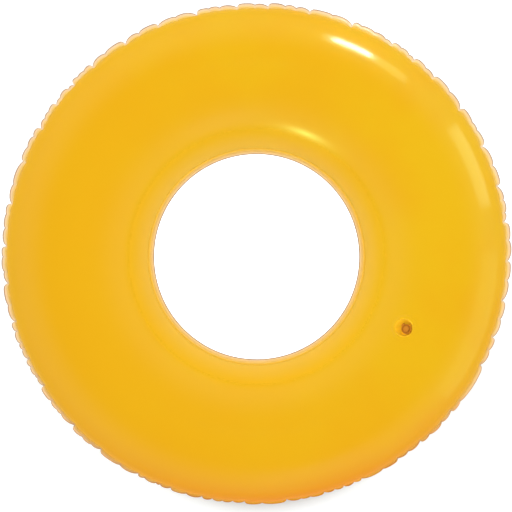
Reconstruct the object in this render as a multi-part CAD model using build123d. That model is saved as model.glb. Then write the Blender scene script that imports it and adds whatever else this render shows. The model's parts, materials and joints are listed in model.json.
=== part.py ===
"""Inflatable swim ring with a sinkable stem valve.

Two vinyl sheets are welded along an outer and an inner circle and hold the air between them.
The valve is welded under the upper sheet. Its stem sits sunk in a soft cup and pops out by hand,
its plug pulls out of the bore, and a flap at the stem's inner end keeps the air in.

Millimetres. The ring lies on the XY plane round the Z axis, and the valve is over +X.
"""

from build123d import *
from math import asin, degrees, sqrt
import os

# Ring
FILM = 0.5  # thickness of one vinyl sheet
OUTER_WELD_R = 374.0  # radius of the outer weld, where the sheets meet
INNER_WELD_R = 159.0  # radius of the inner weld, round the hole
CREST_H = 95.0  # height of the tube's crest above the plane of the welds
LIP = 7.0  # width of the welded edge that stands out past the tube
REST_FLAT = 0.4  # how far the ring's own weight flattens the tube where it rests

# Valve: sizes across the valve's own axis are radii, and heights count from the sheet, + outwards
VALVE_R = 238.5  # distance of the valve from the Z axis
FLANGE_R = 18.0
FLANGE_T = 1.0
RIM_R = 13.8
RIM_WALL = 0.9
RIM_TOP = 0.8
RIM_BOTTOM = -2.2
CUP_TOP = -1.6
CUP_FLOOR = -12.5
CUP_FLOOR_R = 10.0  # the cup narrows to this, so that it clears the rim when it turns inside out
CUP_WALL = 0.7
CUP_CORNER = 1.6
STEM_SHIFT = 2.5  # the sunk stem sits this far off the rim's middle, away from the ring's hole
STEM_R = 5.5
BORE_R = 3.9
STEM_TOP = -6.6
STEM_BOTTOM = -21.0
STEM_LIP_R = 6.2
STEM_LIP_H = 1.0
SLIP = 0.05  # radial clearance between parts that slide or turn in each other

# Plug and its tether
CAP_R = 7.5
CAP_T = 2.2
CAP_EDGE_R = 0.7
CAP_BOSS_R = 4.4
CAP_GROOVE_R = 6.2
CAP_GROOVE = 1.1
BOSS_RISE = 0.5
SHANK_L = 7.0
COLLAR_R = 6.6
COLLAR_H = 1.2
TETHER_ANGLE = 155.0  # degrees round the stem's axis from the direction away from the ring's hole
TETHER_T = 0.7
TETHER_W = 5.0
TETHER_OUT_R = 9.4
TETHER_IN_R = 7.4
TETHER_LOW = -10.6  # lowest point of the loop's centre line
TETHER_BEND = 0.9

# Check valve at the stem's inner end
SEAT_T = 0.6
FLAP_R = 4.8
FLAP_T = 0.55
FLAP_TAB_W = 4.0
FLAP_HINGE_X = -5.1  # the line at the tab's end that the flap swings about

# Derived sizes
CREST_R = OUTER_WELD_R - CREST_H  # the outer arc is a quarter circle about this radius
INNER_ARC_R = ((CREST_R - INNER_WELD_R) ** 2 + CREST_H**2) / (2 * CREST_H)
INNER_ARC_DROP = INNER_ARC_R - CREST_H  # its centre lies this far beyond the plane of the welds
SEAM_Z = CREST_H - REST_FLAT  # height of the welds' plane above the floor
VALVE_TILT = degrees(asin((CREST_R - VALVE_R) / INNER_ARC_R))
VALVE_RISE = sqrt(INNER_ARC_R**2 - (CREST_R - VALVE_R) ** 2) - INNER_ARC_DROP

VALVE_FRAME = Plane(
    origin=(VALVE_R, 0, SEAM_Z + VALVE_RISE),
    x_dir=Vector(1, 0, 0).rotate(Axis.Y, VALVE_TILT * -1),
    z_dir=Vector(0, 0, 1).rotate(Axis.Y, VALVE_TILT * -1),
)


def turned(*outline):
    """Solid of revolution about Z of an outline given as (radius, height) points or as edges."""
    if isinstance(outline[0], tuple):
        outline = [Polyline(*outline, close=True)]
    return revolve(Plane.XZ * make_face(outline), Axis.Z)


def tube(depth):
    """The air tube as a solid ring, its surface moved inwards by depth."""
    outer_r = CREST_H - depth
    inner_r = INNER_ARC_R - depth
    flat_z = depth
    outer_weld = (CREST_R + outer_r, SEAM_Z)
    inner_weld = (CREST_R - sqrt(inner_r**2 - INNER_ARC_DROP**2), SEAM_Z)
    crest = (CREST_R, SEAM_Z + outer_r)
    below = SEAM_Z - flat_z
    flat_out = (CREST_R + sqrt(outer_r**2 - below**2), flat_z)
    flat_in = (CREST_R - sqrt(inner_r**2 - (below + INNER_ARC_DROP) ** 2), flat_z)
    return turned(
        RadiusArc(outer_weld, crest, -outer_r),
        RadiusArc(crest, inner_weld, -inner_r),
        RadiusArc(inner_weld, flat_in, -inner_r),
        Line(flat_in, flat_out),
        RadiusArc(flat_out, outer_weld, -outer_r),
    )


def washer(outer_r, inner_r, bottom, top):
    """Flat ring about Z between two heights."""
    return turned((inner_r, bottom), (outer_r, bottom), (outer_r, top), (inner_r, top))


def on_valve(part):
    """Carries a part drawn about Z onto the axis of the valve's rim."""
    return VALVE_FRAME.location * part


def on_stem(part):
    """Carries a part drawn about Z onto the stem's axis, which is beside the rim's."""
    return VALVE_FRAME.location * Pos(STEM_SHIFT, 0, 0) * part


def top_skin():
    shell = tube(0) - tube(FILM)
    upper = split(shell, Plane.XY.offset(SEAM_Z + FILM), keep=Keep.TOP)
    return upper - on_valve(Cylinder(RIM_R + SLIP, 10))


def bottom_skin():
    shell = tube(0) - tube(FILM)
    return split(shell, Plane.XY.offset(SEAM_Z - FILM), keep=Keep.BOTTOM)


def outer_seam():
    return washer(OUTER_WELD_R + LIP, OUTER_WELD_R - FILM, SEAM_Z - FILM, SEAM_Z + FILM)


def inner_seam():
    return washer(INNER_WELD_R + FILM, INNER_WELD_R - LIP, SEAM_Z - FILM, SEAM_Z + FILM)


def valve_base():
    """Flange that follows the sheet's inside, with a round rim up through its hole."""
    layer = tube(FILM) - tube(FILM + FLANGE_T)
    flange = layer & on_valve(Cylinder(FLANGE_R, 12))
    flange -= on_valve(Cylinder(RIM_R - RIM_WALL / 2, 12))
    rim = washer(RIM_R, RIM_R - RIM_WALL, RIM_BOTTOM, RIM_TOP)
    rim = fillet(rim.edges().group_by(Axis.Z)[-1], RIM_WALL * 0.4)
    return flange + on_valve(rim)


def leaning_cup(wall, top):
    """Solid that narrows from the rim to the cup's floor, with its surface moved inwards by wall."""
    top_r = RIM_R - RIM_WALL - SLIP - wall
    floor = CUP_FLOOR - CUP_WALL + wall
    mouth = Pos(0, 0, RIM_BOTTOM) * Circle(top_r)
    foot = Pos(STEM_SHIFT, 0, floor) * Circle(CUP_FLOOR_R - wall)
    cone = loft([foot, mouth])
    cone = fillet(cone.edges().group_by(Axis.Z)[0], CUP_CORNER + CUP_WALL - wall)
    neck = Pos(0, 0, RIM_BOTTOM) * Cylinder(
        top_r, top - RIM_BOTTOM, align=(Align.CENTER, Align.CENTER, Align.MIN)
    )
    return cone + neck


def valve_cup():
    """Soft cup that holds the sunk stem and turns inside out when the stem pops up."""
    cup = leaning_cup(0, CUP_TOP) - leaning_cup(CUP_WALL, 0)
    return on_valve(cup) - on_stem(Cylinder(STEM_R + SLIP, 60))


def valve_stem():
    """Tube that the plug and the pump nozzle enter, with a lip round its mouth."""
    stem = turned(
        (BORE_R, STEM_BOTTOM),
        (STEM_R, STEM_BOTTOM),
        (STEM_R, STEM_TOP - STEM_LIP_H),
        (STEM_LIP_R, STEM_TOP - STEM_LIP_H),
        (STEM_LIP_R, STEM_TOP),
        (BORE_R, STEM_TOP),
    )
    mouth = stem.edges().group_by(Axis.Z)[-1]
    return on_stem(chamfer(mouth, 0.25))


def flap_seat():
    """Ring welded to the stem's inner end, which the flap closes against."""
    return on_stem(washer(STEM_R, BORE_R, STEM_BOTTOM - SEAT_T, STEM_BOTTOM))


def check_flap():
    """Thin disc under the seat, with a tab that reaches the line it swings about."""
    middle = STEM_BOTTOM - SEAT_T - SLIP - FLAP_T / 2
    disc = Pos(0, 0, middle) * Cylinder(FLAP_R, FLAP_T)
    tab = Pos(FLAP_HINGE_X / 2, 0, middle) * Box(-FLAP_HINGE_X, FLAP_TAB_W, FLAP_T)
    return on_stem(disc + tab)


def plug():
    """Stopper: a shank that seals the bore, and a cap with a boss inside a round groove."""
    cap_low = STEM_TOP + SLIP
    cap_top = cap_low + CAP_T
    cap = Pos(0, 0, cap_low + CAP_T / 2) * Cylinder(CAP_R, CAP_T)
    cap = fillet(cap.edges().filter_by(GeomType.CIRCLE).group_by(Axis.Z)[-1], CAP_EDGE_R)
    groove = washer(CAP_GROOVE_R, CAP_BOSS_R, cap_top - CAP_GROOVE, cap_top + 1)
    boss = Pos(0, 0, cap_top) * Cylinder(CAP_BOSS_R, BOSS_RISE * 2)
    boss = fillet(boss.edges().group_by(Axis.Z)[-1], BOSS_RISE * 0.8)
    shank_r = BORE_R - SLIP
    shank = Pos(0, 0, cap_low) * Cylinder(
        shank_r, SHANK_L, align=(Align.CENTER, Align.CENTER, Align.MAX)
    )
    shank = chamfer(shank.edges().group_by(Axis.Z)[0], 0.6)
    return on_stem(cap - groove + boss + shank)


def tether_collar():
    """Ring that holds the plug's tether round the stem, under the mouth's lip."""
    top = STEM_TOP - STEM_LIP_H - SLIP
    return on_stem(washer(COLLAR_R, STEM_R + SLIP, top - COLLAR_H, top))


def tether_strap():
    """Flat strap from the cap's edge, down into the cup and back up to the collar."""
    cap_z = STEM_TOP + SLIP + CAP_T / 2
    collar_z = STEM_TOP - STEM_LIP_H - SLIP - COLLAR_H / 2
    bends = [TETHER_BEND, TETHER_BEND, TETHER_BEND, TETHER_T / 2]
    line = FilletPolyline(
        (CAP_R + SLIP, 0, cap_z),
        (TETHER_OUT_R, 0, cap_z),
        (TETHER_OUT_R, 0, TETHER_LOW),
        (TETHER_IN_R, 0, TETHER_LOW),
        (TETHER_IN_R, 0, collar_z),
        (COLLAR_R + SLIP, 0, collar_z),
        radius=bends,
    )
    section = Plane(origin=line @ 0, x_dir=(0, 1, 0), z_dir=(1, 0, 0)) * Rectangle(TETHER_W, TETHER_T)
    strap = sweep(section, path=line)
    return on_stem(Rot(0, 0, TETHER_ANGLE) * strap)


PARTS = [
    top_skin,
    bottom_skin,
    outer_seam,
    inner_seam,
    valve_base,
    valve_cup,
    valve_stem,
    flap_seat,
    check_flap,
    plug,
    tether_collar,
    tether_strap,
]

os.makedirs("parts", exist_ok=True)
for make in PARTS:
    shape = make()
    export_step(shape, f"parts/{make.__name__}.step")

hinge = VALVE_FRAME.location * Pos(STEM_SHIFT + FLAP_HINGE_X, 0, STEM_BOTTOM - SEAT_T)
print("valve axis", VALVE_FRAME.z_dir, "origin", VALVE_FRAME.origin)
print("flap hinge at", hinge.position, "axis +Y")
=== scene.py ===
"""Looks of the inflatable swim ring: the puckered, inflated vinyl, its welded edges, and the valve.

Metres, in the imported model's frame: the ring lies on the floor round the Z axis, valve over +X.
"""

import json
import math
import random

import bmesh
import bpy
import numpy as np
from mathutils import Matrix, Vector


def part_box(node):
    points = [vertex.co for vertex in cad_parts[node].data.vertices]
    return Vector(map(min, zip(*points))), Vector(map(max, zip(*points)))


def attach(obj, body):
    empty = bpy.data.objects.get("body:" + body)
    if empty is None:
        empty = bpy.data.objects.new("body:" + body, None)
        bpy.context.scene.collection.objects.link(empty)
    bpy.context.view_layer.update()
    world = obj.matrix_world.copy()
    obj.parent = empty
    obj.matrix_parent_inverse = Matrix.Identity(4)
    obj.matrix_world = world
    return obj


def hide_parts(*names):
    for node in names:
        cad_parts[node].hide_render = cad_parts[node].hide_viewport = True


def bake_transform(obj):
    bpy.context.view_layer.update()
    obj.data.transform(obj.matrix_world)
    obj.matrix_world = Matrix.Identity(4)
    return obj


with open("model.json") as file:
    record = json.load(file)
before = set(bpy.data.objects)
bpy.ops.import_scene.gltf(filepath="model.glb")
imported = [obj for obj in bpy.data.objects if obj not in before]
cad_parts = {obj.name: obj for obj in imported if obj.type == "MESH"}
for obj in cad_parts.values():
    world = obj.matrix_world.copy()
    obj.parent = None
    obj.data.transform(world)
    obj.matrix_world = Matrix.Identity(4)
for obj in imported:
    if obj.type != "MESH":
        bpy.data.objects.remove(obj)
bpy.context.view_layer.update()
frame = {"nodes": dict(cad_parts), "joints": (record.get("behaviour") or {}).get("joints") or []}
scene = bpy.context.scene
joints = {j["name"]: j for j in frame["joints"]}

# ---------------------------------------------------------------- sizes, mostly from the frame
MM = 0.001
outer_seam_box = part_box("outer_seam")
inner_seam_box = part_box("inner_seam")
top_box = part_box("top_skin")
SEAM_Z = (outer_seam_box[0].z + outer_seam_box[1].z) / 2
LIP_T = outer_seam_box[1].z - outer_seam_box[0].z
OUTER_LIP_R = outer_seam_box[1].x
OUTER_WELD_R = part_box("bottom_skin")[1].x
LIP_W = OUTER_LIP_R - OUTER_WELD_R
CREST_H = top_box[1].z - SEAM_Z
CREST_R = OUTER_WELD_R - CREST_H
INNER_WELD_R = inner_seam_box[1].x - LIP_T / 2
INNER_ARC_R = ((CREST_R - INNER_WELD_R) ** 2 + CREST_H**2) / (2 * CREST_H)
INNER_ARC_DROP = INNER_ARC_R - CREST_H
FILM = 0.4 * MM

# The valve's own frame: OUT is its axis, AWAY points from the ring's hole, ACROSS is sideways.
OUT = Vector(joints["valve_pop"]["axis"]).normalized()
AWAY = Vector((OUT.z, 0, -OUT.x))
ACROSS = OUT.cross(AWAY)
VALVE = Vector((CREST_R + INNER_ARC_R * OUT.x, 0, SEAM_Z + INNER_ARC_R * OUT.z - INNER_ARC_DROP))
stem_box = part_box("valve_stem")
STEM_SHIFT = ((stem_box[0] + stem_box[1]) / 2 - VALVE).dot(AWAY)
RIM_R = 13.8 * MM
FLANGE_R = 18.0 * MM
# Heights over the sheet along the valve's axis, negative inside the tube
RIM_BOTTOM = -2.2 * MM
CUP_TOP = -1.6 * MM
CUP_FLOOR = -13.2 * MM
CAP_MIDDLE = -5.45 * MM
COLLAR_MIDDLE = -8.25 * MM

# Points of the meshes
OUTER_ARC_POINTS = 22
INNER_ARC_POINTS = 18
COLUMNS_PER_LOBE = 9
INNER_LIP_COLUMNS = 360
CUP_COLUMNS = 120
SEED = 11

# ---------------------------------------------------------------- view
VALVE_PICTURE_AZIMUTH = math.radians(-25.8)  # where the valve stands in the picture
CAMERA_HEIGHT = 4.0
PICTURE_WIDTH = 0.7635  # metres across the picture in the plane of the welds
SENSOR = 36.0  # millimetres


def picture_direction(degrees, rise=0.0):
    """Unit vector towards an azimuth in the picture, counted anticlockwise from its right."""
    a = math.radians(degrees) - VALVE_PICTURE_AZIMUTH
    e = math.radians(rise)
    return Vector((math.cos(a) * math.cos(e), math.sin(a) * math.cos(e), math.sin(e)))


def make_camera():
    """Camera straight above the ring, turned so that the valve stands where the picture has it."""
    data = bpy.data.cameras.new("camera")
    cam = bpy.data.objects.new("camera", data)
    scene.collection.objects.link(cam)
    right = picture_direction(0)
    up = picture_direction(90)
    back = Vector((0, 0, 1))
    turn = Matrix((right, up, back)).transposed().to_4x4()
    middle = (picture_direction(180) + picture_direction(90)) * MM
    cam.matrix_world = Matrix.Translation(middle + back * CAMERA_HEIGHT) @ turn
    data.sensor_width = SENSOR
    data.lens = SENSOR * (CAMERA_HEIGHT - SEAM_Z) / PICTURE_WIDTH
    data.clip_start = 0.05
    data.clip_end = 100
    scene.camera = cam


# ---------------------------------------------------------------- the sheet's outline in section
def section(side):
    """Points of one sheet from the outer weld to the inner one: radius, height, outward normal.

    side is +1 for the upper sheet and -1 for the lower one. Also gives each point's distance
    along the sheet from the outer weld.
    """
    outer_length = CREST_H * math.pi / 2
    inner_sweep = math.asin((CREST_R - INNER_WELD_R) / INNER_ARC_R)
    rows = []
    for k in range(OUTER_ARC_POINTS):
        a = math.pi / 2 * (k / OUTER_ARC_POINTS) ** 1.35  # closer together at the weld
        n = (math.cos(a), math.sin(a))
        rows.append((CREST_R + CREST_H * n[0], CREST_H * n[1], n[0], n[1], CREST_H * a))
    for k in range(INNER_ARC_POINTS + 1):
        a = inner_sweep * k / INNER_ARC_POINTS
        n = (-math.sin(a), math.cos(a))
        r = CREST_R + INNER_ARC_R * n[0]
        h = INNER_ARC_R * n[1] - INNER_ARC_DROP
        rows.append((r, h, n[0], n[1], outer_length + INNER_ARC_R * a))
    rows = np.array(rows)
    rows[:, 1] *= side
    rows[:, 3] *= side
    return rows


# ---------------------------------------------------------------- puckers of the outer weld
class Puckers:
    """Folds that take up the spare length of the outer weld, all the way round.

    A main fold has a steep side, where one lobe tucks under the next, and a gentle one. Between
    two of them the weld only waves a little.
    """

    def __init__(self, seed):
        rng = random.Random(seed)
        folds = []
        a = 0.0
        while a < 2 * math.pi - math.radians(6):
            picture = a + VALVE_PICTURE_AZIMUTH
            steep = -1 if math.cos(picture) > 0 else 1
            if rng.random() < 0.14:
                steep = -steep
            deep = rng.uniform(3.6, 6.4) * MM * (1 - 0.45 * self.resting(a))
            folds.append([a, deep, rng.uniform(1.3, 2.1) * MM, rng.uniform(5.0, 8.5) * MM, steep])
            gap = math.radians(min(max(rng.gauss(8.8, 1.4), 6.0), 11.5))
            inside = rng.choice((1, 1, 2, 2, 3))
            for k in range(inside):
                share = (k + 1) / (inside + 1) + rng.uniform(-0.09, 0.09)
                deep = rng.uniform(1.0, 2.7) * MM
                width = rng.uniform(2.2, 3.8) * MM
                folds.append([a + gap * share, deep, width, width, 0])
            a += gap
        self.folds = [f for f in folds if f[0] < 2 * math.pi - math.radians(1.5)]
        self.reach = [rng.uniform(*((26, 60) if f[4] else (10, 24))) * MM for f in self.folds]
        self.sway = [rng.uniform(-1, 1) for _ in self.folds]
        self.swell = [rng.uniform(0.3, 1.3) * MM for _ in self.folds]
        self.edges = np.array([f[0] for f in self.folds] + [2 * math.pi])

    @staticmethod
    def resting(phi):
        """1 at the bottom of the picture, where the edge is smoothest, falling to 0 round it."""
        d = (phi + VALVE_PICTURE_AZIMUTH - math.radians(280) + math.pi) % (2 * math.pi) - math.pi
        return np.exp(-((d / math.radians(66)) ** 2))

    def angles(self):
        """Azimuths of the mesh's columns, crowded together beside each fold."""
        out = []
        for a, b in zip(self.edges[:-1], self.edges[1:]):
            for k in range(COLUMNS_PER_LOBE):
                u = k / COLUMNS_PER_LOBE
                out.append(a + (b - a) * (0.5 - 0.5 * math.cos(math.pi * u)))
        return np.array(out)

    def lobe(self, phi):
        """The lobe that an azimuth is in, how far across it, from 0 to 1, and its angle."""
        i = np.clip(np.searchsorted(self.edges, phi, side="right") - 1, 0, len(self.folds) - 1)
        angle = self.edges[i + 1] - self.edges[i]
        return i, (phi - self.edges[i]) / angle, angle

    def dent(self, phi, along, side):
        """How far the sheet is pushed inwards at an azimuth, a distance along it from the weld."""
        total = np.zeros(np.broadcast(phi, along).shape)
        for fold, reach, sway in zip(self.folds, self.reach, self.sway):
            at, deep, narrow, wide, steep = fold
            reach = reach * (1 + 0.12 * side * sway)
            gone = np.clip(along / reach, 0, 1)
            drift = sway * 0.05 * along * (1 if side > 0 else -0.7)
            gap = (phi - at + math.pi) % (2 * math.pi) - math.pi
            beside = gap * OUTER_WELD_R + drift
            width = np.where(beside * steep > 0, narrow, wide) * (1 + 2.2 * gone)
            total += deep * np.exp(-np.abs(beside) / width) * (1 - gone) ** 1.6
        return total

    def crease(self, phi, along):
        """1 on the line of a main fold at the weld, falling to 0 beside it and up the sheet."""
        total = np.zeros(np.broadcast(phi, along).shape)
        for at, _, _, _, steep in self.folds:
            if steep:
                gap = (phi - at + math.pi) % (2 * math.pi) - math.pi
                beside = np.abs(gap * OUTER_WELD_R) / (1.3 * MM + 0.12 * np.abs(along))
                total += np.exp(-beside) * np.exp(-np.abs(along) / (5 * MM))
        return np.clip(total, 0, 1)

    def swelling(self, phi, along):
        """How far the sheet stands out between folds."""
        i, u, angle = self.lobe(phi)
        width = angle * OUTER_WELD_R
        size = np.array(self.swell)[i] * np.clip(width / (40 * MM), 0.2, 1.3)
        return size * np.sin(np.pi * u) * np.exp(-along / (38 * MM))


puckers = Puckers(SEED)
PHI = puckers.angles()


def flattening(phi):
    """Draws the outer edge in a little at the bottom of the picture, and less so at its top."""
    top = (phi + VALVE_PICTURE_AZIMUTH - math.radians(92) + math.pi) % (2 * math.pi) - math.pi
    return -8.7 * MM * puckers.resting(phi) - 3 * MM * np.exp(-((top / math.radians(28)) ** 2))


def tube_points(side, rows, depth=0.0):
    """Grid of points of one sheet, puckers included, moved inwards by depth."""
    phi = PHI[:, None]
    r, h, nr, nh, along = [rows[:, k][None, :] for k in range(5)]
    dent = puckers.dent(phi, along, side) - puckers.swelling(phi, along)
    ease = np.clip(1 - along / (CREST_H * math.pi / 2), 0, 1)
    ease = ease * ease * (3 - 2 * ease)
    rr = r - (dent + depth) * nr + flattening(phi) * ease
    zz = SEAM_Z + h - (dent + depth) * nh
    zz = np.maximum(zz, depth)
    x = rr * np.cos(phi)
    y = rr * np.sin(phi)
    return np.stack([x, y, zz + 0 * x], axis=-1)


def grid_faces(columns, rows, offset=0):
    """Faces of a sheet of columns that closes on itself, from its points' numbers."""
    faces = []
    for i in range(columns):
        j = (i + 1) % columns
        for k in range(rows - 1):
            q = (i * rows + k, i * rows + k + 1, j * rows + k + 1, j * rows + k)
            faces.append(tuple(offset + v for v in q))
    return faces


def tube_faces(columns, count):
    """Faces of a solid ring of columns, each a closed loop of count points."""
    faces = []
    for i in range(columns):
        j = (i + 1) % columns
        for k in range(count):
            m = (k + 1) % count
            faces.append((i * count + k, j * count + k, j * count + m, i * count + m))
    return faces


def mesh_object(name, points, faces):
    """Smooth-shaded object with its normals outwards."""
    mesh = bpy.data.meshes.new(name)
    mesh.from_pydata([tuple(p) for p in points], [], faces)
    bm = bmesh.new()
    bm.from_mesh(mesh)
    bmesh.ops.recalc_face_normals(bm, faces=bm.faces)
    bm.to_mesh(mesh)
    bm.free()
    ob = bpy.data.objects.new(name, mesh)
    scene.collection.objects.link(ob)
    mesh.polygons.foreach_set("use_smooth", [True] * len(mesh.polygons))
    return ob


def add_attribute(ob, name, values):
    """Gives each of the mesh's points a number that its material reads."""
    a = ob.data.attributes.new(name, "FLOAT", "POINT")
    a.data.foreach_set("value", np.asarray(values, dtype=np.float32))


def at_valve(away, across, out):
    """Point in the valve's own frame, in the row frame."""
    return VALVE + AWAY * away + ACROSS * across + OUT * out


def cut_valve_hole(ob):
    """Refines the sheet round the valve, presses the flange's edge into it, and cuts its hole."""
    bm = bmesh.new()
    bm.from_mesh(ob.data)
    beside = 12 * MM  # how far from the valve's plane, along its axis, the near sheet may be

    def off_axis(p):
        d = p - VALVE
        return (d - OUT * d.dot(OUT)).length, d.dot(OUT)

    for limit in (30 * MM, 25 * MM):
        near = []
        for e in bm.edges:
            across, out = off_axis((e.verts[0].co + e.verts[1].co) / 2)
            if across < limit and abs(out) < beside and e.calc_length() > 0.7 * MM:
                near.append(e)
        bmesh.ops.subdivide_edges(bm, edges=near, cuts=1, use_grid_fill=True)
    for v in bm.verts:
        across, out = off_axis(v.co)
        if across < FLANGE_R + 6 * MM and abs(out) < beside:
            step = min(max((FLANGE_R + 1.4 * MM - across) / (1.8 * MM), 0), 1)
            step = step * step * (3 - 2 * step)
            groove = math.exp(-(((across - FLANGE_R - 2.2 * MM) / (1.2 * MM)) ** 2))
            v.co += OUT * (0.55 * MM * step - 0.3 * MM * groove)
    bm.to_mesh(ob.data)
    bm.free()
    bpy.ops.mesh.primitive_cylinder_add(vertices=96, radius=RIM_R + 0.05 * MM, depth=16 * MM)
    tool = bpy.context.object
    turn = OUT.to_track_quat("Z", "Y").to_matrix().to_4x4()
    tool.matrix_world = Matrix.Translation(VALVE) @ turn
    m = ob.modifiers.new("hole", "BOOLEAN")
    m.operation = "DIFFERENCE"
    m.solver = "EXACT"
    m.object = tool
    apply_modifiers(ob)
    bpy.data.objects.remove(tool)
    ob.data.polygons.foreach_set("use_smooth", [True] * len(ob.data.polygons))


def apply_modifiers(ob):
    """Turns the object's modified shape into its own mesh."""
    bpy.context.view_layer.update()
    evaluated = ob.evaluated_get(bpy.context.evaluated_depsgraph_get())
    mesh = bpy.data.meshes.new_from_object(evaluated)
    ob.modifiers.clear()
    ob.data = mesh


def make_sheet(name, side):
    """One vinyl sheet as a closed thin shell."""
    rows = section(side)
    outside = tube_points(side, rows)
    inside = tube_points(side, rows, FILM)
    columns, count = outside.shape[:2]
    points = np.concatenate([outside.reshape(-1, 3), inside.reshape(-1, 3)])
    shift = columns * count
    faces = grid_faces(columns, count)
    faces += grid_faces(columns, count, shift)
    for i in range(columns):
        j = (i + 1) % columns
        for k in (0, count - 1):
            a, b = i * count + k, j * count + k
            faces.append((a, b, shift + b, shift + a))
    ob = mesh_object(name, points, faces)
    along = rows[:, 4]
    # low weighs the painted shade: deep orange at the outer edge at the bottom of the picture.
    low = puckers.resting(PHI)[:, None] ** 2 * np.exp(-((along[None, :] / (72 * MM)) ** 2))
    add_attribute(ob, "low", np.tile(low.ravel(), 2))
    crease = puckers.crease(PHI[:, None], along[None, :]) * (1 - low)
    add_attribute(ob, "crease", np.tile(crease.ravel(), 2))
    from_hole = along[-1] - along
    add_attribute(ob, "hole", np.tile(np.exp(-((from_hole / (78 * MM)) ** 2)), columns * 2))
    add_attribute(ob, "hole_weld", np.tile(np.exp(-((from_hole / (16 * MM)) ** 2)), columns * 2))
    if side > 0:
        cut_valve_hole(ob)
    ob.data.set_sharp_from_angle(angle=math.radians(60))
    return ob


def lip_wave(phi, out):
    """How far the outer lip bends up or down."""
    i, u, _ = puckers.lobe(phi)
    lean = np.array(puckers.sway)[i]
    return lean * 1.5 * MM * np.sin(np.pi * u) * out**1.5


def lip_half(out, flare):
    """Half the lip's thickness: flared into the tube at the weld, thin, and a bead at the cut."""
    return LIP_T / 2 * np.where(out > 0.88, 0.95, 0.7) + flare * np.clip(1 - out / 0.6, 0, 1) ** 2


def closed_ring(name, r, z, phi):
    """Ring-shaped solid from its section's radii and heights, one row of them for each azimuth."""
    x = r * np.cos(phi)[:, None]
    y = r * np.sin(phi)[:, None]
    points = np.stack([x, y, z], axis=-1)
    return mesh_object(name, points.reshape(-1, 3), tube_faces(*r.shape))


LIP_STEPS = np.array([-0.5, 0.0, 0.08, 0.17, 0.26, 0.36, 0.55, 0.74, 0.86, 0.9, 0.97, 1.0])


def make_outer_lip():
    """The welded edge outside: two films fused flat, folded in at each pucker."""
    phi = PHI[:, None]
    out = LIP_STEPS[None, :]
    inside = np.clip(out, 0, 1)
    here = np.zeros((1, 1))
    weld = puckers.dent(phi, here, 1) - puckers.swelling(phi, here)
    width = LIP_W * (1 - 0.6 * puckers.resting(phi) ** 2)
    r = OUTER_WELD_R - weld * (1 + 0.2 * inside) + width * out + flattening(phi)
    z = SEAM_Z + lip_wave(phi, inside)
    half = lip_half(inside, 3.6 * MM) * np.where(LIP_STEPS > 0.98, 0.55, 1)
    r = np.concatenate([r, r[:, ::-1]], axis=1)
    z = np.concatenate([z + half, (z - half)[:, ::-1]], axis=1)
    ob = closed_ring("outer_weld_lip", r, z, PHI)
    share = np.tile(np.concatenate([LIP_STEPS, LIP_STEPS[::-1]]), len(PHI))
    add_attribute(ob, "out", share)
    # low weighs the painted shade on the lip at the bottom of the picture.
    low = puckers.resting(PHI) ** 2
    add_attribute(ob, "low", np.repeat(low, 2 * len(LIP_STEPS)))
    crease = puckers.crease(phi, LIP_W * 0.25 * inside) * (1 - low[:, None])
    add_attribute(ob, "crease", np.concatenate([crease, crease[:, ::-1]], axis=1).ravel())
    return ob


def make_inner_lip():
    """The welded edge round the hole, smooth because the air pulls it tight."""
    phi = np.linspace(0, 2 * math.pi, INNER_LIP_COLUMNS, endpoint=False)
    out = np.concatenate([LIP_STEPS, LIP_STEPS[::-1]])
    half = lip_half(np.clip(LIP_STEPS, 0, 1), 8.0 * MM) * np.where(LIP_STEPS > 0.98, 0.55, 1)
    r = INNER_WELD_R - 0.88 * LIP_W * out
    z = SEAM_Z + np.concatenate([half, -half[::-1]])
    each = (INNER_LIP_COLUMNS, 1)
    ob = closed_ring("inner_weld_lip", np.tile(r, each), np.tile(z, each), phi)
    share = np.where(out > 0.8, 1, 0.06 + 0.5 * out)
    add_attribute(ob, "out", np.tile(share, INNER_LIP_COLUMNS))
    add_attribute(ob, "crease", np.zeros(len(ob.data.vertices)))
    add_attribute(ob, "low", np.zeros(len(ob.data.vertices)))
    return ob


# ---------------------------------------------------------------- the valve's soft pieces
def make_cup():
    """Soft cup from the rim down to the stem, leaning with the stem."""
    wall = 0.7 * MM
    top_r = RIM_R - 0.95 * MM
    foot_r = 10.0 * MM
    hole_r = 5.55 * MM
    corner = 1.7 * MM
    low = CUP_FLOOR + corner
    line = [(top_r, CUP_TOP), (top_r, RIM_BOTTOM)]
    for k in range(1, 10):
        u = k / 9
        line.append((top_r + (foot_r - top_r) * u, RIM_BOTTOM + (low - RIM_BOTTOM) * u))
    for k in range(1, 7):
        a = math.pi / 2 * k / 6
        line.append((foot_r - corner * (1 - math.cos(a)), low - corner * math.sin(a)))
    for k in range(1, 5):
        line.append((foot_r - corner + (hole_r - foot_r + corner) * k / 4, CUP_FLOOR))
    line = np.array(line)
    tangent = np.gradient(line, axis=0)
    tangent /= np.linalg.norm(tangent, axis=1)[:, None]
    inward = np.stack([tangent[:, 1], -tangent[:, 0]], axis=1)
    inner = line + inward * wall
    inner[0, 1] = CUP_TOP
    inner[-1, 0] = hole_r
    loop = np.concatenate([line, inner[::-1]])
    points = []
    for i in range(CUP_COLUMNS):
        a = 2 * math.pi * i / CUP_COLUMNS
        for r, out in loop:
            lean = STEM_SHIFT * min(max((RIM_BOTTOM - out) / (RIM_BOTTOM - CUP_FLOOR), 0), 1)
            points.append(at_valve(lean + r * math.cos(a), r * math.sin(a), out))
    return mesh_object("valve_soft_cup", points, tube_faces(CUP_COLUMNS, len(loop)))


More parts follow.
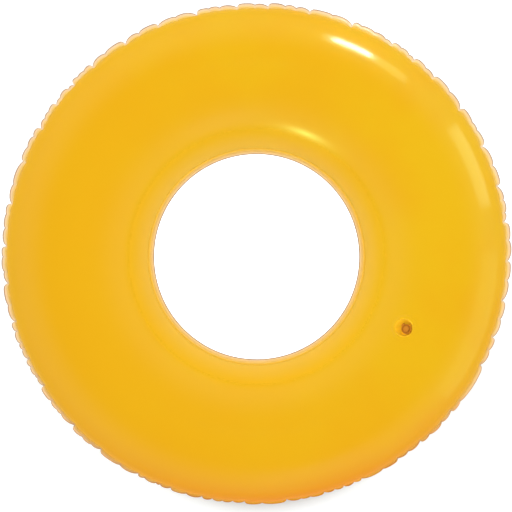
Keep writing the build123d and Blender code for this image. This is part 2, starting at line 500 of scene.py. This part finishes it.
def make_strap():
    """The plug's strap: out from the cap, down into the cup and back up to the stem's collar."""
    turn = math.radians(155)
    cap_end = (7.5 * MM, CAP_MIDDLE)
    collar_end = (6.6 * MM, COLLAR_MIDDLE)
    out_r, in_r, low = 9.4 * MM, 7.4 * MM, -10.6 * MM
    corners = [(out_r, CAP_MIDDLE), (out_r, low), (in_r, low), (in_r, COLLAR_MIDDLE)]
    path = [cap_end, *corners, collar_end]
    bend = [1.0 * MM, 0.95 * MM, 0.95 * MM, 0.4 * MM]
    line = [np.array(path[0])]
    for k in range(1, len(path) - 1):
        before, here, after = (np.array(path[k + d]) for d in (-1, 0, 1))
        u = (before - here) / np.linalg.norm(before - here)
        v = (after - here) / np.linalg.norm(after - here)
        start, end = here + u * bend[k - 1], here + v * bend[k - 1]
        for step in range(9):
            t = step / 8
            line.append((1 - t) ** 2 * start + 2 * t * (1 - t) * here + t**2 * end)
    line.append(np.array(path[-1]))
    fine = []
    for a, b in zip(line[:-1], line[1:]):
        parts = max(1, int(np.linalg.norm(b - a) / (0.35 * MM)))
        fine += [a + (b - a) * k / parts for k in range(parts)]
    line = np.array(fine + [line[-1]])
    tangent = np.gradient(line, axis=0)
    tangent /= np.linalg.norm(tangent, axis=1)[:, None]
    normal = np.stack([-tangent[:, 1], tangent[:, 0]], axis=1)
    half_w, half_t, edge = 2.5 * MM, 0.35 * MM, 0.2 * MM
    outline = []
    for sw, st in ((1, 1), (-1, 1), (-1, -1), (1, -1)):
        for k in range(3):
            a = math.pi / 4 * k
            c, s = math.cos(a), math.sin(a)
            if sw * st < 0:
                c, s = s, c
            outline.append((sw * (half_w - edge + edge * c), st * (half_t - edge + edge * s)))
    points, faces = [], []
    count = len(outline)
    for p, n in zip(line, normal):
        for across, thick in outline:
            rho, out = p + n * thick
            away = STEM_SHIFT + rho * math.cos(turn) - across * math.sin(turn)
            side = rho * math.sin(turn) + across * math.cos(turn)
            points.append(at_valve(away, side, out))
    for i in range(len(line) - 1):
        for k in range(count):
            m = (k + 1) % count
            faces.append((i * count + k, i * count + m, (i + 1) * count + m, (i + 1) * count + k))
    faces.append(tuple(range(count)))
    faces.append(tuple(reversed(range((len(line) - 1) * count, len(line) * count))))
    ob = mesh_object("plug_strap", points, faces)

    def place(rho, out):
        return at_valve(STEM_SHIFT + rho * math.cos(turn), rho * math.sin(turn), out)

    slope = np.array((0.8, 0.6))
    length = float((np.array(cap_end) - np.array(collar_end)) @ slope)
    end = np.array(collar_end) + slope * length
    return ob, place(*collar_end), place(*end)


# ---------------------------------------------------------------- materials
VINYL_IOR = 1.42
ROUGHNESS_GRAIN = 0.02


def srgb(r, g, b):
    """Colour for a shader from its 0 to 255 values on a screen."""

    def lin(c):
        c /= 255
        return c / 12.92 if c <= 0.04045 else ((c + 0.055) / 1.055) ** 2.4

    return (lin(r), lin(g), lin(b), 1.0)


def new_material(name):
    """Empty node material, with its nodes and its links."""
    m = bpy.data.materials.new(name)
    m.use_nodes = True
    m.node_tree.nodes.clear()
    return m, m.node_tree.nodes, m.node_tree.links


def place_of(nodes):
    """Socket with the surface point's place in the object's own frame."""
    return nodes.new("ShaderNodeTexCoord").outputs["Object"]


def noise(nodes, links, scale, detail):
    node = nodes.new("ShaderNodeTexNoise")
    node.inputs["Scale"].default_value = scale
    node.inputs["Detail"].default_value = detail
    links.new(place_of(nodes), node.inputs["Vector"])
    return node.outputs["Fac"]


def vinyl(name, transmission, roughness):
    """Glossy translucent vinyl with a faint grain, and its shader. The colour comes after it."""
    m, nodes, links = new_material(name)
    out = nodes.new("ShaderNodeOutputMaterial")
    b = nodes.new("ShaderNodeBsdfPrincipled")
    links.new(b.outputs[0], out.inputs[0])
    rough = nodes.new("ShaderNodeMapRange")
    rough.inputs["To Min"].default_value = roughness - ROUGHNESS_GRAIN
    rough.inputs["To Max"].default_value = roughness + ROUGHNESS_GRAIN
    links.new(noise(nodes, links, 900.0, 2.0), rough.inputs["Value"])
    links.new(rough.outputs["Result"], b.inputs["Roughness"])
    b.inputs["IOR"].default_value = VINYL_IOR
    b.inputs["Specular IOR Level"].default_value = 0.4
    b.inputs["Transmission Weight"].default_value = transmission
    return m, b


def blotchy(nodes, links, colour, deep):
    """Socket with a colour that runs to a deeper one in soft blotches."""
    blotches = level(nodes, links, noise(nodes, links, 7.0, 3.0), 0.33, 0.67, 0.0, 1.0)
    return mix_colour(nodes, links, blotches, colour, deep)


def plain_vinyl(name, colour, deep, transmission, roughness):
    m, b = vinyl(name, transmission, roughness)
    nodes, links = m.node_tree.nodes, m.node_tree.links
    links.new(blotchy(nodes, links, colour, deep), b.inputs["Base Color"])
    return m


def mix_colour(nodes, links, factor, a, b):
    """Mix node between two colours, each a fixed one or a socket. Gives its result socket."""
    mix = nodes.new("ShaderNodeMix")
    mix.data_type = "RGBA"
    for name, value in (("A", a), ("B", b)):
        if isinstance(value, tuple):
            mix.inputs[name].default_value = value
        else:
            links.new(value, mix.inputs[name])
    links.new(factor, mix.inputs["Factor"])
    return mix.outputs["Result"]


def read_attribute(nodes, name):
    """Socket with a number that add_attribute gave to the mesh's points."""
    a = nodes.new("ShaderNodeAttribute")
    a.attribute_name = name
    return a.outputs["Fac"]


def scaled(nodes, links, socket, factor):
    """Socket times a factor, kept between 0 and 1."""
    m = nodes.new("ShaderNodeMath")
    m.operation = "MULTIPLY"
    m.use_clamp = True
    m.inputs[1].default_value = factor
    links.new(socket, m.inputs[0])
    return m.outputs[0]


def ramp_colour(nodes, links, factor, stops):
    """Colour ramp through (position, colour) stops."""
    node = nodes.new("ShaderNodeValToRGB")
    ramp = node.color_ramp
    for element, (position, colour) in zip(ramp.elements, (stops[0], stops[-1])):
        element.position = position
        element.color = colour
    for position, colour in stops[1:-1]:
        ramp.elements.new(position).color = colour
    links.new(factor, node.inputs["Fac"])
    return node.outputs["Color"]


def added(nodes, links, a, b):
    node = nodes.new("ShaderNodeMath")
    node.operation = "ADD"
    links.new(a, node.inputs[0])
    links.new(b, node.inputs[1])
    return node.outputs[0]


def sheet_vinyl():
    """The tube's sheets: paler in creases; duller near the hole and paler there, partly paler film
    and partly painted light; a painted shade to the left and a deep orange painted shade at the
    bottom of the picture.
    """
    m, b = vinyl("vinyl_sheet", 0.18, 0.19)
    nodes, links = m.node_tree.nodes, m.node_tree.links
    dull = scaled(nodes, links, read_attribute(nodes, "hole"), 0.16)
    roughness = b.inputs["Roughness"]
    links.new(added(nodes, links, roughness.links[0].from_socket, dull), roughness)
    colours = blotchy(nodes, links, srgb(255, 200, 11), srgb(255, 192, 7))
    # More orange towards the left of the picture: a painted shade.
    rightward = vector_math(nodes, links, "DOT_PRODUCT", place_of(nodes), picture_direction(20))
    painted_shade_left = level(nodes, links, rightward, -0.3, 0.3, 0.8, 0.0)
    colours = mix_colour(nodes, links, painted_shade_left, colours, srgb(255, 189, 5))
    # Paler towards the hole: partly paler film near the weld, partly painted light on the inner
    # wall, which gets less light.
    inner = scaled(nodes, links, read_attribute(nodes, "hole"), 0.65)
    colours = mix_colour(nodes, links, inner, colours, srgb(255, 214, 46))
    # Paler still at the weld round the hole: partly paler film, partly painted light that lifts the
    # shade where the wall meets the lip.
    weld_fringe_and_painted_light = scaled(nodes, links, read_attribute(nodes, "hole_weld"), 0.7)
    colours = mix_colour(nodes, links, weld_fringe_and_painted_light, colours, srgb(255, 220, 100))
    # Deep orange at the outer edge at the bottom of the picture: a painted shade.
    low = read_attribute(nodes, "low")
    colours = mix_colour(nodes, links, low, colours, srgb(255, 128, 4))
    pale = scaled(nodes, links, read_attribute(nodes, "crease"), 0.75)
    colours = mix_colour(nodes, links, pale, colours, srgb(255, 226, 170))
    links.new(colours, b.inputs["Base Color"])
    return m


def lip_vinyl():
    """The welded edges: paler than the sheets, with a darker line at the cut and a painted shade at
    the bottom of the picture.
    """
    m, b = vinyl("welded_edge", 0.08, 0.25)
    nodes, links = m.node_tree.nodes, m.node_tree.links
    stops = (
        (0.0, srgb(255, 206, 76)),
        (0.2, srgb(255, 214, 130)),
        (0.6, srgb(255, 226, 186)),
        (0.82, srgb(255, 230, 200)),
        (0.89, srgb(160, 104, 48)),
    )
    across = ramp_colour(nodes, links, read_attribute(nodes, "out"), stops)
    # Deeper orange at the bottom of the picture: a painted shade.
    across = mix_colour(nodes, links, read_attribute(nodes, "low"), across, srgb(255, 182, 40))
    pale = scaled(nodes, links, read_attribute(nodes, "crease"), 0.8)
    across = mix_colour(nodes, links, pale, across, srgb(255, 234, 200))
    links.new(across, b.inputs["Base Color"])
    return m


def plug_vinyl():
    """The plug's firmer vinyl: darker and browner in the cap's groove, a painted shade, and paler
    at its rim.
    """
    m, b = vinyl("plug_vinyl", 0.12, 0.3)
    nodes, links = m.node_tree.nodes, m.node_tree.links
    colours = blotchy(nodes, links, srgb(174, 110, 28), srgb(166, 102, 22))
    offset = vector_math(nodes, links, "SUBTRACT", place_of(nodes), at_valve(STEM_SHIFT, 0, 0))
    crossed = vector_math(nodes, links, "CROSS_PRODUCT", offset, OUT)
    away = vector_math(nodes, links, "LENGTH", crossed)
    reach = scaled(nodes, links, away, 1 / (10 * MM))
    # Darker in the cap's groove: a painted shade.
    black, white = (0, 0, 0, 1), (1, 1, 1, 1)
    stops = ((0.4, black), (0.46, white), (0.6, white), (0.66, black))
    groove = ramp_colour(nodes, links, reach, stops)
    colours = mix_colour(nodes, links, groove, colours, srgb(148, 86, 6))
    rim = level(nodes, links, reach, 0.66, 0.75, 0.0, 0.7)
    colours = mix_colour(nodes, links, rim, colours, srgb(186, 120, 30))
    links.new(colours, b.inputs["Base Color"])
    return m


def make_materials():
    valve = plain_vinyl("valve_vinyl", srgb(255, 202, 40), srgb(255, 194, 30), 0.25, 0.3)
    plug = plug_vinyl()
    film = plain_vinyl("valve_film", srgb(250, 215, 130), srgb(248, 205, 110), 0.7, 0.3)
    return sheet_vinyl(), lip_vinyl(), valve, plug, film


def assign(ob, material):
    ob.data.materials.clear()
    ob.data.materials.append(material)


# ---------------------------------------------------------------- floor, world and lights
def level(nodes, links, socket, low, high, at_low, at_high):
    """Number that runs smoothly from at_low to at_high while the socket runs from low to high."""
    node = nodes.new("ShaderNodeMapRange")
    node.interpolation_type = "SMOOTHSTEP"
    node.inputs["From Min"].default_value = low
    node.inputs["From Max"].default_value = high
    node.inputs["To Min"].default_value = at_low
    node.inputs["To Max"].default_value = at_high
    links.new(socket, node.inputs["Value"])
    return node.outputs["Result"]


def vector_math(nodes, links, operation, a, b=None):
    """Result socket of a vector operation on one or two sockets or fixed vectors."""
    node = nodes.new("ShaderNodeVectorMath")
    node.operation = operation
    for index, value in ((0, a), (1, b)):
        if isinstance(value, (tuple, Vector)):
            node.inputs[index].default_value = value
        elif value is not None:
            links.new(value, node.inputs[index])
    return node.outputs["Value" if operation in ("LENGTH", "DOT_PRODUCT") else "Vector"]


def make_floor():
    """Pale floor with a light of its own: most of it inside the hole, least under the ring, where
    the dimming is a painted shadow that reaches past the ring's edge at the bottom of the picture.
    """
    bpy.ops.mesh.primitive_plane_add(size=40, location=(0, 0, 0))
    floor = bpy.context.object
    floor.name = "floor"
    m, nodes, links = new_material("floor")
    out = nodes.new("ShaderNodeOutputMaterial")
    b = nodes.new("ShaderNodeBsdfPrincipled")
    b.inputs["Base Color"].default_value = (0.35, 0.365, 0.385, 1)
    b.inputs["Roughness"].default_value = 0.9
    b.inputs["Specular IOR Level"].default_value = 0.0
    b.inputs["Emission Color"].default_value = (0.91, 0.97, 1, 1)
    place = place_of(nodes)
    from_axis = vector_math(nodes, links, "LENGTH", place)
    in_hole = level(nodes, links, from_axis, 0.14, 0.26, 1.3, 0.0)
    # A painted shadow: the floor's light is dimmed round a point off towards the bottom of the
    # picture, under the ring and just past its edge there.
    resting = vector_math(nodes, links, "SUBTRACT", place, picture_direction(272) * 0.1)
    from_resting = vector_math(nodes, links, "LENGTH", resting)
    shade = level(nodes, links, from_resting, 0.262, 0.299, 0.28, 0.86)
    links.new(added(nodes, links, in_hole, shade), b.inputs["Emission Strength"])
    links.new(b.outputs[0], out.inputs[0])
    floor.data.materials.append(m)
    floor.visible_glossy = False


def make_world():
    """Plain surroundings: bright at the sides, dimmer overhead, warm straight below."""
    world = bpy.data.worlds.new("world")
    scene.world = world
    world.use_nodes = True
    nodes = world.node_tree.nodes
    links = world.node_tree.links
    back = nodes["Background"]
    coord = nodes.new("ShaderNodeTexCoord")
    split = nodes.new("ShaderNodeSeparateXYZ")
    links.new(coord.outputs["Generated"], split.inputs[0])
    height = nodes.new("ShaderNodeMapRange")
    height.inputs["From Min"].default_value = -1
    links.new(split.outputs["Z"], height.inputs["Value"])
    stops = (
        (0.0, (0.92, 0.55, 0.13, 1)),
        (0.1, (0.87, 0.55, 0.15, 1)),
        (0.25, (0.85, 0.62, 0.18, 1)),
        (0.42, (0.77, 0.73, 0.49, 1)),
        (0.56, (0.98, 0.99, 0.74, 1)),
        (0.7, (0.88, 0.89, 0.72, 1)),
        (0.9, (0.33, 0.33, 0.33, 1)),
    )
    links.new(ramp_colour(nodes, links, height.outputs["Result"], stops), back.inputs["Color"])
    back.inputs["Strength"].default_value = 1.08


AIM_HEIGHT = 0.065  # over the plane of the welds


def soft_box(name, azimuth, out, height, aim, width, tall, radiance, colour=(1, 1, 1)):
    """Rectangular lamp at a picture azimuth, a distance from the axis and a height over the welds.

    aim is the distance from the axis, towards the same azimuth, of the point that it faces.
    """
    data = bpy.data.lights.new(name, "AREA")
    data.shape = "RECTANGLE"
    data.size = width
    data.size_y = tall
    data.energy = radiance * math.pi * width * tall
    data.color = colour
    lamp = bpy.data.objects.new(name, data)
    scene.collection.objects.link(lamp)
    lamp.location = picture_direction(azimuth) * out + Vector((0, 0, SEAM_Z + height))
    target = picture_direction(azimuth) * aim + Vector((0, 0, SEAM_Z + AIM_HEIGHT))
    lamp.rotation_euler = (target - lamp.location).to_track_quat("-Z", "Y").to_euler()
    lamp.visible_camera = False
    return lamp


def make_lights():
    """Soft light from high up and low down, a spot into the valve, and lamps that only gleam."""
    fill = soft_box("fill", 90, 0.9, 4.0, 0.0, 0.6, 0.6, 68)
    fill.visible_glossy = False
    fill.visible_transmission = False
    low = soft_box("low_fill", 285, 2.4, 0.9, 0.3, 1.2, 1.2, 1.5)
    low.visible_glossy = False
    low.visible_transmission = False
    into_valve = bpy.data.lights.new("into_valve", "SPOT")
    above = 80 * MM
    into_valve.energy = 0.24
    into_valve.shadow_soft_size = 2 * MM
    into_valve.spot_size = 2 * math.atan(RIM_R / above)
    into_valve.spot_blend = 0.2
    spot = bpy.data.objects.new("into_valve", into_valve)
    scene.collection.objects.link(spot)
    lean = (OUT + 0.12 * picture_direction(270)).normalized()
    spot.location = VALVE + lean * above
    spot.rotation_euler = (-lean).to_track_quat("-Z", "Y").to_euler()
    spot.visible_transmission = False
    spot.visible_glossy = False
    spot.visible_camera = False
    greenish = (0.6, 1, 0.5)
    gleams = (
        soft_box("key", 65.5, 0.48, 0.092, 0.342, 0.088, 0.034, 42, (1, 0.97, 0.85)),
        soft_box("key_halo", 61.5, 0.48, 0.096, 0.342, 0.2, 0.06, 3.2, greenish),
        soft_box("side", 23, 0.49, 0.068, 0.34, 0.18, 0.1, 3.0, greenish),
        soft_box("right", 342, 0.5, 0.07, 0.34, 0.34, 0.17, 0.9, (0.45, 1, 0.3)),
        soft_box("across", 248.3, 0.25, 0.107, -0.195, 0.011, 0.01, 120, (0.55, 1, 0.25)),
    )
    for lamp in gleams:
        lamp.visible_diffuse = False
    across = gleams[-1]
    across.visible_transmission = False
    across.data.spread = math.radians(60)


# ---------------------------------------------------------------- build
make_camera()
make_world()
make_floor()
make_lights()

sheet_material, lip_material, valve_material, plug_material, film_material = make_materials()

top = make_sheet("top_sheet", 1)
bottom = make_sheet("bottom_sheet", -1)
outer_lip = make_outer_lip()
inner_lip = make_inner_lip()
for piece, node, material, slot in (
    (top, "top_skin", sheet_material, "vinyl_sheet"),
    (bottom, "bottom_skin", sheet_material, "vinyl_sheet"),
    (outer_lip, "outer_seam", lip_material, "welded_edge"),
    (inner_lip, "inner_seam", lip_material, "welded_edge"),
):
    assign(piece, material)
    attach(piece, "ring")
    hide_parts(node)

cup = make_cup()
assign(cup, valve_material)
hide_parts("valve_cup")
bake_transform(cup)

strap, strap_start, strap_end = make_strap()
assign(strap, plug_material)
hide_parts("tether_strap")
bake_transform(strap)

for node, material in (
    ("valve_base", valve_material),
    ("valve_stem", valve_material),
    ("flap_seat", valve_material),
    ("check_flap", film_material),
    ("plug", plug_material),
    ("tether_collar", plug_material),
):
    assign(frame["nodes"][node], material)

scene.view_settings.view_transform = "Standard"
scene.view_settings.look = "None"
